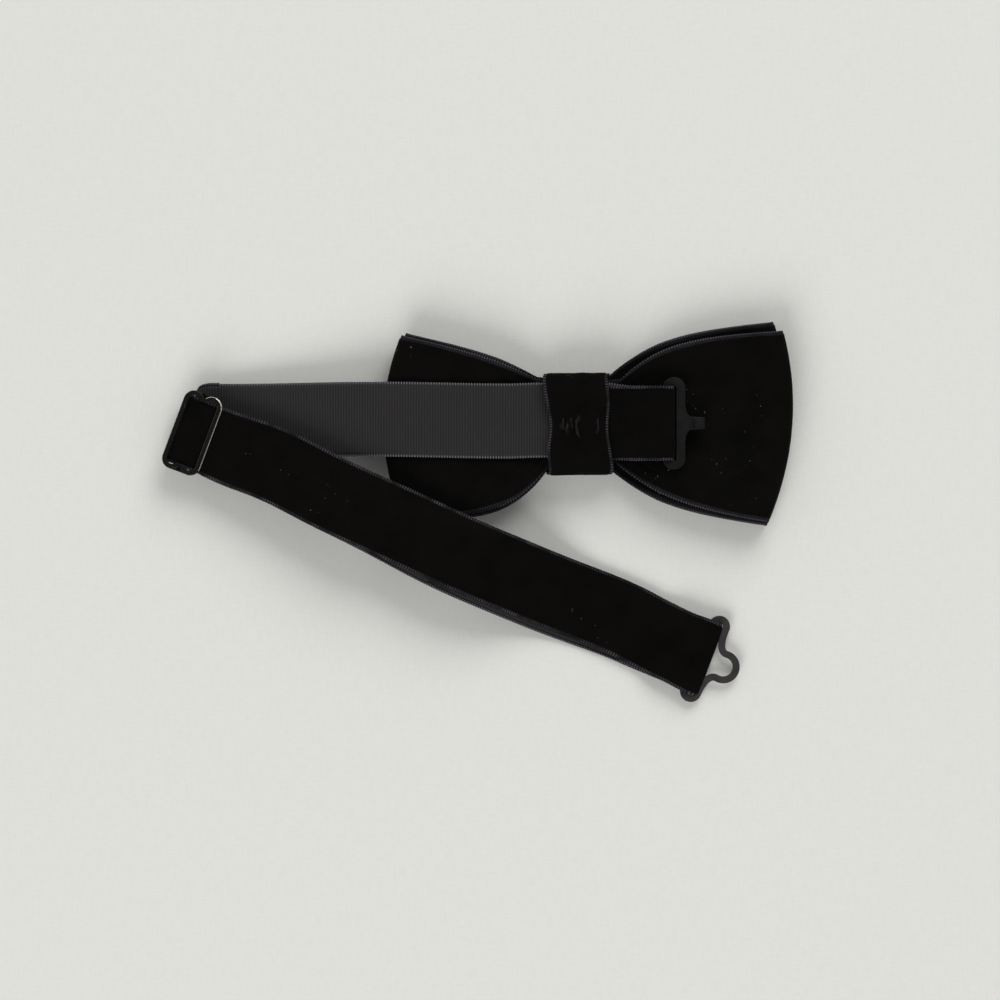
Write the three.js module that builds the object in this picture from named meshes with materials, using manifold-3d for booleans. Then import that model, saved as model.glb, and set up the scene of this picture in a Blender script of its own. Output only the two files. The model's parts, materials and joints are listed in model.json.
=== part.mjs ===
// Pre-tied velvet bow tie lying face down, with its adjustable neck strap folded beside it.
// Units are millimetres. +Z is up, away from the surface that the bow's front lies on.
// The origin is the middle of the knot's front face.
import * as THREE from "three";
import { mergeVertices } from "three/addons/utils/BufferGeometryUtils.js";
import Module from "manifold-3d";

const wasm = await Module();
wasm.setup();

// ---- driving dimensions ----
const CLOTH = 0.8; // thickness of the velvet ribbon
const METAL = 1.0; // thickness of the hook, eye and slider plate
const GAP = 0.3; // clearance between pieces that lie against each other
const THREAD = 0.5; // diameter of the sewing thread

const BOW_RIBBON = 60; // flat width of the ribbon of both bow loops
const RIGHT_END = 63.7; // how far each side of the bow reaches from the knot's middle
const LEFT_END = 57.7;
const PINCH = 13; // half height of the gathered waist inside the knot
const FLARE = 19; // how quickly a loop opens out beyond the knot

const KNOT_WIDTH = 19; // 3/4 inch ribbon
const KNOT_HALF = 14.7; // middle of the knot wrap's cloth, across the waist
const KNOT_BACK = 12.2; // height of the middle of the knot's back wall
const KNOT_CORNER = 2;

const BAND_WIDTH = 22; // 7/8 inch neck ribbon
const BAND_Y = 1.15; // middle line of the band
const BAND_IN_KNOT = 9.8; // height of the ribbon's middle where it runs through the knot
const BAND_ON_BOW = 11; // and where it lies on the back loop
const BAND_AT_FOLD = 2.5; // and where it turns up into the fold
const TAIL_IN_KNOT = 11; // height of the hook tab's tucked end

const STRAP_WIDTH = 20.8; // the same ribbon, drawn in a little by the slider
const STRAP_TURN = THREE.MathUtils.degToRad(23.8); // direction of the strap, clockwise from +X
const FOLD_TURN = STRAP_TURN / 2; // direction of the fold's line, clockwise from +Y
const FOLD = new THREE.Vector3(-113.8, -2.8, 5.5); // middle of the slider's centre bar
const RISE = 0.1345; // slope of the strap's first, straight stretch
const PITCH = Math.atan(RISE);
const TOP_LIFT = 2.22; // strap's upper layer above the slider's centre bar
const RETURN_DROP = 1.16; // return layer below it

const LOOP_GAP = 1.35; // half the room left inside the folds that hold the hook and the eye
const LOOP_RADIUS = LOOP_GAP + CLOTH / 2;

const HOOK_BAR = new THREE.Vector3(25.9, 0.2, BAND_ON_BOW + LOOP_RADIUS);
const EYE_BAR = 163.45; // distance of the eye's straight bar from the fold
const EYE_LIFT = 2.25; // height of that bar
const EYE_FOLD = 164.15; // middle of the ribbon's fold around it

const ON_BOW_TOP = 13.4; // height of the strap's upper layer where it passes over the bow
const ON_BOW_RETURN = 12.2; // and of its return layer
const DOWN_TOP = 1.8; // height of both layers where they lie on the table again
const DOWN_RETURN = 0.5;
const RETURN_END = 137; // where the return layer runs into the eye's fold
const TOP_END = 159;
const DESCENT = 46; // length of the slope down from the bow to the table

const STEPS = { line: 2, arc: 8, curve: 8 }; // steps along each kind of stretch
const SHORTEST = 1e-4; // stretches shorter than this are rounding, and are left out

// ---- colours ----
const velvet = { color: 0x060607, roughness: 0.95, metalness: 0 };
const ribbonBack = { color: 0x1a181c, roughness: 0.8, metalness: 0 };
const paintedMetal = { color: 0x2b2a29, roughness: 0.55, metalness: 0.4 };
const blackMetal = { color: 0x141414, roughness: 0.45, metalness: 0.4 };
const sewingThread = { color: 0x0c0c0d, roughness: 0.9, metalness: 0 };

function named(name, geometry, finish) {
  const mesh = new THREE.Mesh(geometry, new THREE.MeshStandardMaterial(finish));
  mesh.name = name;
  return mesh;
}

// ---- solids ----
function toSolid(geometry) {
  const bare = geometry.clone();
  bare.deleteAttribute("normal");
  bare.deleteAttribute("uv");
  const merged = mergeVertices(bare, 1e-5);
  return new wasm.Manifold(
    new wasm.Mesh({
      numProp: 3,
      vertProperties: new Float32Array(merged.attributes.position.array),
      triVerts: new Uint32Array(merged.index.array),
    }),
  );
}

function fromSolid(solid) {
  const mesh = solid.getMesh();
  const geometry = new THREE.BufferGeometry();
  geometry.setAttribute("position", new THREE.BufferAttribute(mesh.vertProperties, 3));
  geometry.setIndex(new THREE.BufferAttribute(mesh.triVerts, 1));
  return geometry;
}

function joined(...geometries) {
  return fromSolid(geometries.map(toSolid).reduce((whole, piece) => whole.add(piece)));
}

// Points that follow each other at no distance, where an arc starts on the last point, are dropped.
function distinct(points) {
  return points.filter((point, i) => point.distanceTo(points.at(i - 1)) > SHORTEST);
}

function plate(outline, thickness = METAL) {
  const { shape: edge, holes } = outline.extractPoints(STEPS.arc);
  const clean = new THREE.Shape(distinct(edge));
  clean.holes = holes.map((hole) => new THREE.Path(distinct(hole)));
  const geometry = new THREE.ExtrudeGeometry(clean, { depth: thickness, bevelEnabled: false });
  return geometry.translate(0, 0, -thickness / 2);
}

// ---- ribbons ----
// A ribbon is a flat bar of cloth bent along a path drawn in the X-Z plane. Straight runs take few
// steps and folds take more.
function trace(path) {
  const marks = [];
  for (const curve of path.curves.filter((each) => each.getLength() > SHORTEST)) {
    const steps = curve.isLineCurve ? STEPS.line : curve.isEllipseCurve ? STEPS.arc : STEPS.curve;
    for (let k = marks.length ? 1 : 0; k <= steps; k++) {
      marks.push({ at: curve.getPointAt(k / steps), along: curve.getTangentAt(k / steps) });
    }
  }
  return marks;
}

function ribbon(path, width, { across = 1, shape = (x, y, z) => [x, y, z] } = {}) {
  const marks = trace(path);
  const steps = marks.length - 1;
  const geometry = new THREE.BoxGeometry(1, width, CLOTH, steps, across, 1);
  const position = geometry.attributes.position;
  for (let i = 0; i < position.count; i++) {
    const { at, along } = marks[Math.round((position.getX(i) + 0.5) * steps)];
    const lift = position.getZ(i);
    const x = at.x - along.y * lift;
    const z = at.y + along.x * lift;
    position.setXYZ(i, ...shape(x, position.getY(i), z));
  }
  return geometry;
}

// An easy S from one height to another, level at both ends.
function ease(path, x, z) {
  const from = path.currentPoint;
  const middle = (from.x + x) / 2;
  path.bezierCurveTo(middle, from.y, middle, z, x, z);
}

// ---- bow loops ----
// Each loop is one ribbon whose ends butt together on its upper side, inside the knot.
function bowLoop({ waistLow, waistHigh, low, high, right, left, rightHalf, leftHalf }) {
  const waist = KNOT_WIDTH / 2;
  const open = 28; // where the loop has reached its full depth
  const radius = (high - low) / 2;
  const middle = (high + low) / 2;
  const seam = GAP / 2;
  const path = new THREE.Path().moveTo(seam, waistHigh);
  path.lineTo(waist, waistHigh);
  ease(path, open, high);
  path.lineTo(right - radius - CLOTH / 2, high);
  path.absarc(right - radius - CLOTH / 2, middle, radius, Math.PI / 2, -Math.PI / 2, true);
  path.lineTo(open, low);
  ease(path, waist, waistLow);
  path.lineTo(-waist, waistLow);
  ease(path, -open, low);
  path.lineTo(-left + radius + CLOTH / 2, low);
  path.absarc(-left + radius + CLOTH / 2, middle, radius, -Math.PI / 2, -1.5 * Math.PI, true);
  path.lineTo(-open, high);
  ease(path, -waist, waistHigh);
  path.lineTo(-seam, waistHigh);

  const shape = (x, y, z) => {
    const reach = Math.abs(x);
    const full = x > 0 ? rightHalf : leftHalf;
    const half = full - (full - PINCH) * Math.exp(-Math.max(0, reach - waist) / FLARE);
    const share = y / (BOW_RIBBON / 2);
    const bow = 5 * share * share * (reach / RIGHT_END) ** 3; // the corners stay behind the middle
    return [x - Math.sign(x) * bow, share * half, z];
  };
  return ribbon(path, BOW_RIBBON, { across: 6, shape });
}

const frontLoop = named(
  "front_loop",
  bowLoop({
    waistLow: 2.1,
    waistHigh: 4.1,
    low: CLOTH / 2,
    high: 4.6,
    right: RIGHT_END - 1.5,
    left: LEFT_END - 1,
    rightHalf: 31,
    leftHalf: 28.2,
  }),
  velvet,
);
const backLoop = named(
  "back_loop",
  bowLoop({
    waistLow: 6.1,
    waistHigh: 8.1,
    low: 5.7,
    high: 9.9,
    right: RIGHT_END,
    left: LEFT_END,
    rightHalf: 29,
    leftHalf: 27.8,
  }),
  velvet,
);

// ---- knot ----
// A closed band round the waist, drawn in the Y-Z plane, with its seam in the middle of the back.
function roundTheWaist(half, low, high, corner, seam) {
  const side = half - corner;
  const path = new THREE.Path().moveTo(seam, high);
  path.lineTo(side, high);
  path.absarc(side, high - corner, corner, Math.PI / 2, 0, true);
  path.lineTo(half, low + corner);
  path.absarc(side, low + corner, corner, 0, -Math.PI / 2, true);
  path.lineTo(-side, low);
  path.absarc(-side, low + corner, corner, -Math.PI / 2, -Math.PI, true);
  path.lineTo(-half, high - corner);
  path.absarc(-side, high - corner, corner, Math.PI, Math.PI / 2, true);
  path.lineTo(-seam, high);
  return path;
}

const knotPath = roundTheWaist(KNOT_HALF, CLOTH / 2, KNOT_BACK, KNOT_CORNER, GAP / 2);
const knotWrap = named("knot_wrap", ribbon(knotPath, KNOT_WIDTH), velvet);
knotWrap.rotation.z = Math.PI / 2;

class Upright extends THREE.Curve {
  constructor(path) {
    super();
    this.path = path;
  }
  getPoint(t) {
    const { x, y } = this.path.getPoint(t);
    return new THREE.Vector3(x, 0, y);
  }
}

function thread(path, steps) {
  const section = new THREE.Shape().absarc(0, 0, THREAD / 2, 0, 2 * Math.PI);
  return new THREE.ExtrudeGeometry(section, {
    steps,
    curveSegments: 6,
    bevelEnabled: false,
    extrudePath: new Upright(path),
  });
}

const GATHER_HALF = PINCH + 0.65;
const GATHER_LOW = 1.25;
const GATHER_HIGH = 8.95;
const gatherPath = roundTheWaist(GATHER_HALF, GATHER_LOW, GATHER_HIGH, 0.7, 0.6);
const gatherThread = named("gather_thread", thread(gatherPath, 36), sewingThread);
gatherThread.rotation.z = Math.PI / 2;

// Each tack stitch is a short staple of thread across the seam on the knot's back.
const TACK_X = [-4.4, -0.6, 5.9];
const tacks = TACK_X.map((x, i) => {
  const path = new THREE.Path().moveTo(-1.6, 0).bezierCurveTo(-0.8, 0.5, 0.8, 0.5, 1.6, 0);
  const mesh = named(`tack_stitch_${i + 1}`, thread(path, 6), sewingThread);
  mesh.rotation.z = Math.PI / 2;
  mesh.position.set(x, 0, KNOT_BACK + CLOTH / 2 + THREAD / 2 + 0.1);
  return mesh;
});

// ---- neck band ----
const bandStart = FOLD.x + 3 * GAP;
const UPPER_TRIM = 0.45; // how far each corner is trimmed back, for each unit of width
const LOWER_TRIM = 0.14;
const bandPath = new THREE.Path().moveTo(bandStart, BAND_AT_FOLD);
const bandRamp = (BAND_ON_BOW - BAND_AT_FOLD) / (-57 - bandStart);
bandPath.lineTo(-60, BAND_ON_BOW - 3 * bandRamp);
bandPath.quadraticCurveTo(-57, BAND_ON_BOW, -54, BAND_ON_BOW);
bandPath.lineTo(-28, BAND_ON_BOW);
ease(bandPath, -KNOT_WIDTH / 2, BAND_IN_KNOT);
bandPath.lineTo(KNOT_WIDTH / 2 - GAP, BAND_IN_KNOT);
const neckBand = named(
  "neck_band",
  ribbon(bandPath, BAND_WIDTH, {
    across: 4,
    shape: (x, y, z) => {
      // The left end follows the fold's line, and its corners are trimmed back from the slider.
      const end = x < bandStart + CLOTH ? 1 : 0;
      const trim = y > 0 ? UPPER_TRIM * y : -LOWER_TRIM * y;
      const slant = (y + BAND_Y - FOLD.y) * Math.tan(FOLD_TURN) + trim;
      return [x + end * slant, y + BAND_Y, z];
    },
  }),
  ribbonBack,
);

const tailPath = new THREE.Path().moveTo(-6, TAIL_IN_KNOT);
tailPath.lineTo(KNOT_WIDTH / 2 - GAP, TAIL_IN_KNOT);
const hookTabTail = named("hook_tab_tail", ribbon(tailPath, 21.8), velvet);
hookTabTail.position.y = HOOK_BAR.y;

const tabSeamPath = new THREE.Path().moveTo(-9, 0).lineTo(9, 0);
const tabSeam = named("hook_tab_seam", thread(tabSeamPath, 2), sewingThread);
tabSeam.rotation.z = Math.PI / 2;
tabSeam.position.set(-6 - THREAD, HOOK_BAR.y, TAIL_IN_KNOT);

// ---- hook tab and hook ----
const TAB_START = KNOT_WIDTH / 2 + 0.4;
const TAB_FOLD = 26.45;
const tabPath = new THREE.Path().moveTo(TAB_START, BAND_IN_KNOT);
ease(tabPath, 20, BAND_ON_BOW);
tabPath.lineTo(TAB_FOLD, BAND_ON_BOW);
tabPath.absarc(TAB_FOLD, HOOK_BAR.z, LOOP_RADIUS, -Math.PI / 2, Math.PI / 2, false);
tabPath.lineTo(24, HOOK_BAR.z + LOOP_RADIUS);
ease(tabPath, TAB_START, TAIL_IN_KNOT);
const hookTab = named("hook_tab", ribbon(tabPath, 21.8), velvet);
hookTab.position.y = HOOK_BAR.y;

function roundedRectangle(Outline, x0, x1, half, radius) {
  const outline = new Outline();
  outline.absarc(x1 - radius, half - radius, radius, 0, Math.PI / 2);
  outline.absarc(x0 + radius, half - radius, radius, Math.PI / 2, Math.PI);
  outline.absarc(x0 + radius, radius - half, radius, Math.PI, 1.5 * Math.PI);
  outline.absarc(x1 - radius, radius - half, radius, 1.5 * Math.PI, 2 * Math.PI);
  outline.closePath();
  return outline;
}

// Measured from the middle of the hook's hidden bar.
function hookSolid() {
  const frameShape = roundedRectangle(THREE.Shape, -0.9, 5.8, 13.65, 3.3);
  frameShape.holes.push(roundedRectangle(THREE.Path, 0.9, 3.1, 11.25, 1));
  const flare = new THREE.Shape().moveTo(5.2, 5.4);
  flare.quadraticCurveTo(6.6, 2.2, 7.4, 2);
  flare.lineTo(7.4, -2);
  flare.quadraticCurveTo(6.6, -2.2, 5.2, -5.4);
  flare.closePath();
  // The tongue runs out, turns up and comes back over itself.
  const tongue = new THREE.Shape().moveTo(7, -METAL / 2);
  tongue.lineTo(11.1, -METAL / 2);
  tongue.absarc(11.1, 1.2, 1.2 + METAL / 2, -Math.PI / 2, Math.PI / 2, false);
  tongue.lineTo(8.4, 1.2 + 1.2 + METAL / 2);
  tongue.lineTo(8.4, 1.2 + 1.2 - METAL / 2);
  tongue.lineTo(11.1, 1.2 + 1.2 - METAL / 2);
  tongue.absarc(11.1, 1.2, 1.2 - METAL / 2, Math.PI / 2, -Math.PI / 2, true);
  tongue.lineTo(7, METAL / 2);
  tongue.closePath();
  const curl = plate(tongue, 3.9).rotateX(Math.PI / 2);
  return joined(plate(frameShape), plate(flare), curl);
}

const hook = named("hook", hookSolid(), paintedMetal);
hook.position.copy(HOOK_BAR);

// ---- strap ----
// The strap's own frame starts under the fold: x runs along the strap, z is the height.
const strapFrame = new THREE.Group();
strapFrame.position.set(FOLD.x, FOLD.y, 0);
strapFrame.rotation.z = -STRAP_TURN;

const topPath = new THREE.Path().moveTo(GAP, FOLD.z + TOP_LIFT + GAP * RISE);
const topHeight = (x) => FOLD.z + TOP_LIFT + x * RISE;
const OFF_BOW = 84; // where the strap starts down again
topPath.lineTo(54, topHeight(54));
topPath.bezierCurveTo(60, topHeight(60), 60, ON_BOW_TOP, 68, ON_BOW_TOP);
topPath.lineTo(OFF_BOW, ON_BOW_TOP);
ease(topPath, OFF_BOW + DESCENT, DOWN_TOP);
topPath.lineTo(146, DOWN_TOP);
ease(topPath, TOP_END - 2, EYE_LIFT + LOOP_RADIUS);
topPath.lineTo(TOP_END, EYE_LIFT + LOOP_RADIUS);
// The strap's first edge follows the fold's line.
const strapShape = (x, y, z) => {
  const slant = x < GAP + CLOTH ? -y * Math.tan(FOLD_TURN) : 0;
  return [x + slant, y, z + slant * RISE];
};
const strapTop = named("strap_top", ribbon(topPath, STRAP_WIDTH, { shape: strapShape }), velvet);

const RETURN_BREAK = 58; // where the return layer changes from the shrinking piece to the steady one
const returnHeight = (x) => FOLD.z - RETURN_DROP + x * RISE;
const returnNearPath = new THREE.Path().moveTo(7, returnHeight(7));
returnNearPath.lineTo(RETURN_BREAK - GAP, returnHeight(RETURN_BREAK - GAP));
const returnNear = named("return_near", ribbon(returnNearPath, STRAP_WIDTH), ribbonBack);

const returnFarPath = new THREE.Path().moveTo(RETURN_BREAK, returnHeight(RETURN_BREAK));
returnFarPath.quadraticCurveTo(59.5, ON_BOW_RETURN, 62, ON_BOW_RETURN);
returnFarPath.lineTo(OFF_BOW - 0.4, ON_BOW_RETURN);
ease(returnFarPath, OFF_BOW - 0.4 + DESCENT, DOWN_RETURN);
returnFarPath.lineTo(RETURN_END, DOWN_RETURN);
const returnFar = named("return_far", ribbon(returnFarPath, STRAP_WIDTH), ribbonBack);

const eyeFoldPath = new THREE.Path().moveTo(RETURN_END + GAP, DOWN_RETURN);
eyeFoldPath.lineTo(EYE_FOLD, DOWN_RETURN);
eyeFoldPath.absarc(EYE_FOLD, EYE_LIFT, LOOP_RADIUS, -Math.PI / 2, Math.PI / 2, false);
eyeFoldPath.lineTo(TOP_END + GAP, EYE_LIFT + LOOP_RADIUS);
const eyeFold = named("eye_fold", ribbon(eyeFoldPath, STRAP_WIDTH), velvet);
strapFrame.add(strapTop, returnNear, returnFar, eyeFold);

// ---- eye ----
// A flat strip bent into a closed outline: a straight bar inside the ribbon's fold, a round lobe
// past each edge of the ribbon, and a nose that takes the hook. Measured from the lobes' line.
const EYE_STRIP = 2.1;
function eyeMiddleLine() {
  const lobeY = 10.5;
  const lobe = 2.15;
  const nose = 3.85;
  const noseX = 5.9;
  const turn = THREE.MathUtils.degToRad(97);
  const joinX = noseX + nose * Math.cos(turn);
  const joinY = nose * Math.sin(turn);
  const line = new THREE.Path().moveTo(-lobe, -lobeY);
  line.lineTo(-lobe, lobeY);
  line.absarc(0, lobeY, lobe, Math.PI, 0, true);
  line.bezierCurveTo(lobe, 6.6, 3.2, joinY - 0.25, joinX, joinY);
  line.absarc(noseX, 0, nose, turn, -turn, true);
  line.bezierCurveTo(3.2, 0.25 - joinY, lobe, -6.6, lobe, -lobeY);
  line.absarc(0, -lobeY, lobe, 0, -Math.PI, true);
  return line;
}

function stripPlate(path, width) {
  const marks = trace(path).slice(0, -1);
  const offset = (side) =>
    marks.map(({ at, along }) => new THREE.Vector2(at.x - along.y * side, at.y + along.x * side));
  const shape = new THREE.Shape(offset(width / 2).reverse()); // anticlockwise, as holes need
  shape.holes.push(new THREE.Path(offset(-width / 2)));
  return plate(shape);
}

const eye = named("eye", joined(stripPlate(eyeMiddleLine(), EYE_STRIP)), paintedMetal);
eye.position.set(EYE_BAR + 2.15, 0, EYE_LIFT);
strapFrame.add(eye);

// ---- fold of the ribbon where the band becomes the strap ----
const foldFrame = new THREE.Group();
foldFrame.position.copy(FOLD);
foldFrame.rotation.set(0, -PITCH, -FOLD_TURN, "ZYX");
const foldRadius = (FOLD.z + TOP_LIFT - BAND_AT_FOLD) / 2;
const foldMiddle = (TOP_LIFT + BAND_AT_FOLD - FOLD.z) / 2;
const FOLD_REACH = 1.6; // straight lead into the fold, which clears the sewn loop
const foldPath = new THREE.Path().moveTo(0, foldMiddle - foldRadius);
foldPath.lineTo(-FOLD_REACH, foldMiddle - foldRadius);
foldPath.absarc(-FOLD_REACH, foldMiddle, foldRadius, 1.5 * Math.PI, Math.PI / 2, true);
foldPath.lineTo(0, foldMiddle + foldRadius);
const strapFold = named("strap_fold", ribbon(foldPath, 19.8), velvet);
foldFrame.add(strapFold);

// ---- slider ----
// The figure-of-eight frame lies over the ribbon, and the centre bar runs under it.
const SLIDER_TWIST = THREE.MathUtils.degToRad(3.3);
const sliderFrame = new THREE.Group();
sliderFrame.position.copy(FOLD);
sliderFrame.rotation.set(0, -PITCH, -STRAP_TURN + SLIDER_TWIST, "ZYX");

const NOTCH = 0.875; // how far across its lobe each notch at the ends cuts in
function figureOfEight(Outline, half, lobeX, lobeRadius) {
  const lobeY = half - lobeRadius;
  const waist = Math.acos(-NOTCH);
  const outline = new Outline();
  outline.absarc(lobeX, lobeY, lobeRadius, 0, waist);
  outline.absarc(-lobeX, lobeY, lobeRadius, Math.PI - waist, Math.PI);
  outline.absarc(-lobeX, -lobeY, lobeRadius, Math.PI, Math.PI + waist);
  outline.absarc(lobeX, -lobeY, lobeRadius, -waist, 0);
  outline.closePath();
  return outline;
}

function sliderSolid() {
  const half = 12.2;
  const strip = 1.5;
  const frameLift = 3.4;
  const ring = figureOfEight(THREE.Shape, half, 2.8, 3.2);
  ring.holes.push(figureOfEight(THREE.Path, half - strip, 2.8, 3.2 - strip));
  const pieces = [plate(ring).translate(0, 0, frameLift)];
  for (const end of [-1, 1]) {
    for (const side of [-1, 1]) {
      const post = new THREE.BoxGeometry(1.2, 1, frameLift);
      pieces.push(post.translate(side * 1.6, end * 11.25, frameLift / 2));
    }
    pieces.push(new THREE.BoxGeometry(4.4, 1, METAL).translate(0, end * 11.25, 0));
  }
  pieces.push(new THREE.BoxGeometry(1.6, 23, METAL));
  return joined(...pieces);
}

const slider = named("slider", sliderSolid(), blackMetal);

const AROUND_BAR = 1.15; // middle of the sewn end's cloth from the centre bar's middle
const endLoopPath = new THREE.Path().moveTo(6, -AROUND_BAR);
endLoopPath.lineTo(-0.35, -AROUND_BAR);
endLoopPath.absarc(-0.35, 0, AROUND_BAR, -Math.PI / 2, -1.5 * Math.PI, true);
endLoopPath.lineTo(0.35, AROUND_BAR);
endLoopPath.absarc(0.35, 0, AROUND_BAR, Math.PI / 2, -Math.PI / 9, true);
const returnEndLoop = named("return_end_loop", ribbon(endLoopPath, STRAP_WIDTH - 0.4), ribbonBack);

const endSeamPath = new THREE.Path().moveTo(-9, 0).lineTo(9, 0);
const endSeam = named("return_end_seam", thread(endSeamPath, 2), sewingThread);
endSeam.rotation.z = Math.PI / 2;
endSeam.position.set(2.6, 0, -AROUND_BAR + CLOTH / 2 + THREAD / 2 + 0.1);
sliderFrame.add(slider, returnEndLoop, endSeam);

// ---- whole object ----
const bowTie = new THREE.Group();
bowTie.add(frontLoop, backLoop, knotWrap, gatherThread, ...tacks);
bowTie.add(neckBand, hookTabTail, tabSeam, hookTab, hook);
bowTie.add(strapFrame, foldFrame, sliderFrame);

export default bowTie;
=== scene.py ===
"""Pre-tied velvet bow tie lying face down, with its folded neck strap, slider, hook and eye.

Lengths in the named values are millimetres, and MM turns them into metres.
"""

import json
import math

import bpy
import numpy as np
from mathutils import Matrix, Vector


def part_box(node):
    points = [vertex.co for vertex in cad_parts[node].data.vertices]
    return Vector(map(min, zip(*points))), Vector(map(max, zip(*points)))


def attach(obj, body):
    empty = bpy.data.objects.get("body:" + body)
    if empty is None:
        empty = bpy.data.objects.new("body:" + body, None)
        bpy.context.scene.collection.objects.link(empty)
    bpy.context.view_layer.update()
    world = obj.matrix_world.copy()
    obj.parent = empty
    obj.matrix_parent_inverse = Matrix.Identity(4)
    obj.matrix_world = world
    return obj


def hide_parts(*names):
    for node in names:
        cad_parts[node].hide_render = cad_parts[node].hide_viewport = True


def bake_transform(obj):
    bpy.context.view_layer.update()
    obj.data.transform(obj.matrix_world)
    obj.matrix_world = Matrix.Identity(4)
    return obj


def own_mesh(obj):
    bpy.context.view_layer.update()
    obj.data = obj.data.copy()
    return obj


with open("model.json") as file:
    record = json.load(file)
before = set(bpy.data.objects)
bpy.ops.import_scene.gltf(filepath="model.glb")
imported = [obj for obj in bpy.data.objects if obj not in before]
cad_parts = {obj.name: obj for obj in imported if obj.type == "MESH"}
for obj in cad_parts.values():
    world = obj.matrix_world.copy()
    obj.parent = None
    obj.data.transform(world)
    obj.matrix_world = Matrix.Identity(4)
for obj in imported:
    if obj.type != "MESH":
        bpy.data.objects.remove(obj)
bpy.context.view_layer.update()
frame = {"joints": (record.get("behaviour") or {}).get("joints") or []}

MM = 0.001

# ---- cloth ----
PILE = 0.8  # thickness of the velvet where the pile stands
SELVAGE = 0.85  # width of the woven edge without pile
SELVAGE_SHARE = 0.5  # the woven edge's thickness, as a share of the velvet's
TOOTH_PITCH = 0.8  # from one rib to the next
TOOTH_DEPTH = 0.11  # how far the ribs stand out of the edge
TOOTH_FADE = 0.6  # how far in from the edge this is still felt
BOW_RIBBON = 60
NECK_RIBBON = 22
STRAP_RIBBON = 20.8  # the neck ribbon, drawn in by the slider and the eye
TAB_RIBBON = 21.8
KNOT_RIBBON = 19
STEP = 0.2  # distance between rows of a ribbon's mesh, four to a rib

# ---- bow ----
WAIST = 9.5  # half width of the knot
LOOP_OPEN = 28  # distance out where a loop has reached its full height
RIGHT_END = 63.7  # how far out the back loop's folded ends reach
LEFT_END = 57.7
BOW_STEP = 0.3  # distance between rows of a loop's mesh
BOW_GAP = 1.35  # distance between its columns
HEM = 4.0  # this much of each edge keeps its width where the cloth is gathered
PLEAT = 5.2  # from one pleat to the next
FRONT_PLEAT_DEPTH = 0.32
BACK_PLEAT_DEPTH = 0.75

# ---- neck ribbon ----
BAND_Y = 1.15  # the band's middle, off the bow's middle
BAND_IN_KNOT = 9.8  # heights above the table, to the middle of the ribbon's thickness
BAND_ON_BOW = 11
BAND_AT_FOLD = 2.5
TAIL_IN_KNOT = 11
TOP_LIFT = 2.22  # the strap's top layer above the fold's hinge
RETURN_DROP = 1.16  # the return layer below it
LOOP_RADIUS = 1.75  # of the ribbon round the hook's bar and the eye's
EYE_BAR = 163.45  # distances along the strap from the fold
EYE_FOLD = 164.15
EYE_LIFT = 2.25
STRAP_ON_BOW = 13.4  # heights of the strap's top layer, over the bow and beyond it
STRAP_BEYOND = 1.8
RETURN_ON_BOW = 12.2  # and of its return layer
RETURN_BEYOND = 0.5
STRAP_TURN = math.radians(23.8)
RISE = 0.1345  # how steeply the strap climbs from the fold on to the bow
PITCH = math.atan(RISE)
SLIDER_TURN = STRAP_TURN - math.radians(3.3)


def joint(name):
    return next(each for each in frame["joints"] if each["name"] == name)


FOLD = Vector(joint("strap_unfold")["pos_m"]) / MM
HOOK_BAR = Vector(joint("hook_flip")["pos_m"]) / MM


# ---- colours ----
NAP = ((0.0014, 0.0012, 0.0010, 1), (0.0042, 0.0038, 0.0034, 1))
LINT = (0.075, 0.07, 0.068, 1)
# painted highlight: the lighter nap beside the knot's creases
CREASE_HIGHLIGHT_NAP = (0.034, 0.032, 0.031, 1)
SELVAGE_THREADS = ((0.010, 0.0092, 0.0105, 1), (0.085, 0.078, 0.092, 1))
BACK_GROUND = ((0.0050, 0.0044, 0.0050, 1), (0.0078, 0.0068, 0.0074, 1))
BACK_RIB = (0.0235, 0.0210, 0.0225, 1)
BACK_LINE = (0.006, 0.0054, 0.006, 1)
BACK_TEETH = ((0.014, 0.0125, 0.016, 1), (0.17, 0.155, 0.185, 1))
HOOK_COLOURS = ((0.0036, 0.0033, 0.0030, 1), (0.0070, 0.0064, 0.0060, 1), (0.016, 0.0147, 0.0135, 1))
# the eye has the hook's paint; its colours are lighter as painted reflection, for the light its flat face
# gives back
EYE_COLOURS_WITH_PAINTED_REFLECTION = ((0.027, 0.0252, 0.0248, 1), (0.040, 0.0370, 0.0362, 1), (0.06, 0.056, 0.053, 1))
SLIDER_COLOURS = ((0.0022, 0.0018, 0.0016, 1), (0.0068, 0.0056, 0.0048, 1))
SCRATCH = (0.045, 0.038, 0.031, 1)
# painted highlights for the slider's edges, bright on the lit side and dull elsewhere
BRIGHT_EDGE_HIGHLIGHT = ((0.34, 0.31, 0.26, 1), (0.78, 0.73, 0.65, 1))
DULL_EDGE_HIGHLIGHT = ((0.05, 0.043, 0.035, 1), (0.15, 0.13, 0.11, 1))
THREAD_COLOURS = ((0.004, 0.004, 0.0042, 1), (0.016, 0.015, 0.017, 1))
LINEN_COLOURS = ((0.750, 0.753, 0.715, 1), (0.775, 0.778, 0.740, 1))


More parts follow.
